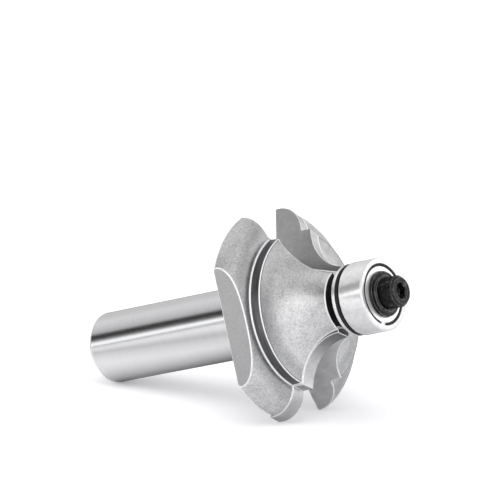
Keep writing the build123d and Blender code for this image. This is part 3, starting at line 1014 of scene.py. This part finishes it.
core_r = SCREW_HEAD_R - KNURL_DEPTH
screw = turned(
    "clamp_socket_screw",
    [
        (0, SCREW_POINT),
        (SCREW_R - POINT_BEVEL, SCREW_POINT),
        (SCREW_R, SCREW_POINT + POINT_BEVEL),
        (SCREW_R, HEAD),
        (core_r - SCREW_FOOT_BEVEL, HEAD),
        (core_r, HEAD + SCREW_FOOT_BEVEL),
        (core_r, HEAD_END - SCREW_HEAD_BEVEL),
        (SCREW_HEAD_R - SCREW_HEAD_BEVEL, HEAD_END),
        (0, HEAD_END),
    ],
    black_oxide,
    oxide_edge_worn_and_lit,
    steps=120,
)
corner_r = SOCKET_ACROSS / 2 / math.cos(math.pi / 6)
corners = [turn * math.pi / 3 for turn in range(6)]
socket_floor = HEAD_END - SOCKET_DEPTH
hexagon = [(corner_r * math.cos(turn), corner_r * math.sin(turn), socket_floor) for turn in corners]
combine(screw, "DIFFERENCE", prism("socket broach", hexagon, (0, 0, 2 * SOCKET_DEPTH), black_oxide))
mouth = [
    (0, HEAD_END - MOUTH_DEPTH),
    (corner_r - MOUTH_INNER, HEAD_END - MOUTH_DEPTH),
    (corner_r + MOUTH_OUTER, HEAD_END + MOUTH_SPARE),
    (0, HEAD_END + MOUTH_SPARE),
]
combine(screw, "DIFFERENCE", turned("socket mouth", mouth, black_oxide, steps=96))
drill_r = SOCKET_ACROSS / 2 - SOCKET_SKIN
drilled = [
    (0, socket_floor - SOCKET_CONE),
    (drill_r, socket_floor),
    (drill_r, socket_floor + SOCKET_SKIN),
    (0, socket_floor + SOCKET_SKIN),
]
combine(screw, "DIFFERENCE", turned("socket drill", drilled, black_oxide, steps=96))
eased(screw, SCREW_EASE, edge_slot=1)
lay_down(screw)
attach(screw, "bit")
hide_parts("clamp_screw")

knurl_tree, knurl_sizes, wanted = repeat_tree(
    "knurled head",
    Ridges=KNURL_COUNT,
    Head_Radius=SCREW_HEAD_R,
    Ridge_Size=2 * KNURL_DEPTH,
    Ridge_Length=SCREW_HEAD_H - KNURL_FOOT - KNURL_TOP,
    Height=HEAD + (SCREW_HEAD_H + KNURL_FOOT - KNURL_TOP) / 2,
)
ridge_r = sum_of(knurl_tree, "SUBTRACT", wanted["Head Radius"], wanted["Ridge Size"])
circle = add(knurl_tree, "GeometryNodeMeshCircle", {"Vertices": wanted["Ridges"], "Radius": ridge_r})
ridge = add(knurl_tree, "GeometryNodeMeshCylinder",
            {"Vertices": 3, "Radius": wanted["Ridge Size"], "Depth": wanted["Ridge Length"]})
each_turn = sum_of(knurl_tree, "DIVIDE", math.tau, wanted["Ridges"])
turn = sum_of(knurl_tree, "MULTIPLY", add(knurl_tree, "GeometryNodeInputIndex").outputs[0], each_turn)
facing = add(knurl_tree, "ShaderNodeCombineXYZ", {"Z": turn})
spread = add(
    knurl_tree,
    "GeometryNodeInstanceOnPoints",
    {"Points": circle.outputs["Mesh"], "Instance": ridge.outputs["Mesh"], "Rotation": facing.outputs[0]},
)
end_tree(knurl_tree, spread.outputs["Instances"], wanted["Height"], black_oxide)
knurl = grown("screw_head_knurl", knurl_tree, knurl_sizes)
lay_down(knurl)
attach(knurl, "bit")

# ================================================================ floor, light and camera
# White table and two soft boxes, which light the matt surfaces and throw the soft shadow. The bands on
# the steel come from the studio round it, whose tones run by the angle about the tool's axis, and from
# the table, whose tones in reflections go by place and are not those that the camera sees.
FLOOR_SIZE = 6.0
FLOOR_COLOUR = (0.86, 0.86, 0.88, 1.0)
FLOOR_UNDER_HEAD = (0.70, 0.70, 0.71, 1.0)
FLOOR_GLOW = 0.24
SHANK_SIDE = (-0.1, 0.02)
HEAD_SIDE = (0.004, 0.014)
FAR_SIDE = (0.028, 0.040)

floor_mesh = bmesh.new()
bmesh.ops.create_grid(floor_mesh, x_segments=1, y_segments=1, size=FLOOR_SIZE / 2)
floor_paint = bpy.data.materials.new("white table")
floor_paint.use_nodes = True
tree = floor_paint.node_tree
paint = tree.nodes["Principled BSDF"]
paint.inputs["Roughness"].default_value = 0.9
paint.inputs["Specular IOR Level"].default_value = 0.0
path = add(tree, "ShaderNodeLightPath").outputs
seen = sum_of(tree, "MAXIMUM", path["Is Camera Ray"], path["Is Transmission Ray"])
paint.inputs["Emission Color"].default_value = (1.0, 1.0, 1.0, 1.0)
tree.links.new(sum_of(tree, "MULTIPLY", seen, FLOOR_GLOW), paint.inputs["Emission Strength"])
point = add(tree, "ShaderNodeTexCoord").outputs["Object"]
spot = add(tree, "ShaderNodeSeparateXYZ", {"Vector": point}).outputs
# Painted shade and painted highlight in reflections alone: as seen in the steel, the table darkens under the
# shank and the head and has one bright band.
under_shank = ramp(
    tree,
    ranged(tree, spot["Y"], *SHANK_SIDE, 0.0, 1.0),
    (0.00, grey(0.92)),
    (0.36, grey(0.88)),
    (0.60, grey(0.60)),
    (0.75, grey(1.00)),
    (0.81, grey(0.80)),
    (0.92, grey(0.15)),
)
under_head = ranged(tree, spot["X"], *HEAD_SIDE, 0.0, 1.0)
mirrored = blend(tree, under_head, under_shank, FLOOR_UNDER_HEAD)
past_head = ranged(tree, spot["X"], *FAR_SIDE, 0.0, 1.0)
mirrored = blend(tree, past_head, mirrored, FLOOR_COLOUR)
shade = blend(tree, path["Is Glossy Ray"], FLOOR_COLOUR, mirrored)
tree.links.new(shade, paint.inputs["Base Color"])
floor = new_piece("table_floor", floor_mesh, floor_paint)

VIEW_TURN = math.radians(36.39)
VIEW_RISE = math.radians(12.34)
STUDIO_STRENGTH = 1.5
FRONT = Vector((0, -1, 0))

world = bpy.data.worlds.new("studio")
bpy.context.scene.world = world
world.use_nodes = True
tree = world.node_tree
backdrop = tree.nodes["Background"]
backdrop.inputs["Color"].default_value = (1.0, 1.0, 1.0, 1.0)
direction = add(tree, "ShaderNodeTexCoord").outputs["Generated"]
faced = []
for side in (FRONT, FRONT.cross(tool_axis), tool_axis):
    dot = add(tree, "ShaderNodeVectorMath", {0: direction, 1: side}, operation="DOT_PRODUCT")
    faced.append(dot.outputs["Value"])
turn = sum_of(tree, "ARCTAN2", faced[1], faced[0])
band = ranged(tree, turn, 0.0, math.pi, 0.0, 1.0)
round_bands = ramp(
    tree,
    band,
    (0.000, grey(0.03)),
    (0.042, grey(0.04)),
    (0.065, grey(0.30)),
    (0.108, grey(0.36)),
    (0.122, grey(1.00)),
    (0.166, grey(1.00)),
    (0.186, grey(0.14)),
    (0.215, grey(0.12)),
    (0.240, grey(0.01)),
    (0.300, grey(0.01)),
    (0.340, grey(0.38)),
    (0.420, grey(0.50)),
    (0.560, grey(0.60)),
    (0.720, grey(0.48)),
    (1.000, grey(0.42)),
)
either_side = ranged(tree, sum_of(tree, "ABSOLUTE", turn), 0.0, math.pi, 0.0, 1.0)
head_bands = ramp(
    tree,
    either_side,
    (0.00, grey(0.70)),
    (0.10, grey(1.00)),
    (0.22, grey(1.00)),
    (0.33, grey(0.24)),
    (0.45, grey(0.44)),
    (0.54, grey(0.60)),
    (0.65, grey(0.34)),
    (0.74, grey(0.26)),
    (0.84, grey(0.86)),
    (1.00, grey(0.96)),
)
ahead = add(tree, "ShaderNodeMapRange", {"Value": faced[2], "From Min": -0.5, "From Max": 0.5},
            interpolation_type="SMOOTHSTEP").outputs["Result"]
studio_bands = blend(tree, ahead, round_bands, head_bands)
studio = add(tree, "ShaderNodeBackground", {"Color": studio_bands, "Strength": STUDIO_STRENGTH})
path = add(tree, "ShaderNodeLightPath").outputs
seen = sum_of(tree, "MAXIMUM", path["Is Camera Ray"], path["Is Transmission Ray"])
mixed = add(tree, "ShaderNodeMixShader", {0: seen, 1: studio.outputs[0], 2: backdrop.outputs[0]})
tree.links.new(mixed.outputs[0], tree.nodes["World Output"].inputs["Surface"])


LIGHTS_AIM = Vector((0, 0, 0.015))


def soft_light(name, place, size, power):
    """Square soft box that looks at the tool and stays out of its reflections."""
    lamp = bpy.data.lights.new(name, "AREA")
    lamp.shape = "SQUARE"
    lamp.size = size
    lamp.energy = power
    holder = bpy.data.objects.new(name, lamp)
    bpy.context.scene.collection.objects.link(holder)
    holder.location = place
    holder.rotation_euler = (LIGHTS_AIM - Vector(place)).to_track_quat("-Z", "Y").to_euler()
    holder.visible_glossy = False
    return holder


soft_light("overhead light", (0.2, -0.3, 0.85), 0.7, 3.6)
soft_light("front light", (-0.55, -0.45, 0.45), 0.35, 0.9)

VIEW_DISTANCE = 748.0
VIEW_RIGHT = 25.28
VIEW_UP = 17.70
LENS = 299.0
SENSOR = 36.0
camera_data = bpy.data.cameras.new("camera")
camera_data.lens = LENS
camera_data.sensor_width = SENSOR
camera = bpy.data.objects.new("camera", camera_data)
bpy.context.scene.collection.objects.link(camera)
camera.rotation_euler = (math.pi / 2 - VIEW_RISE, 0, VIEW_TURN)
facing = camera.rotation_euler.to_matrix()
camera.location = tool_start + facing @ Vector((VIEW_RIGHT, VIEW_UP, VIEW_DISTANCE)) / 1000
bpy.context.scene.camera = camera
bpy.context.scene.view_settings.view_transform = "Standard"
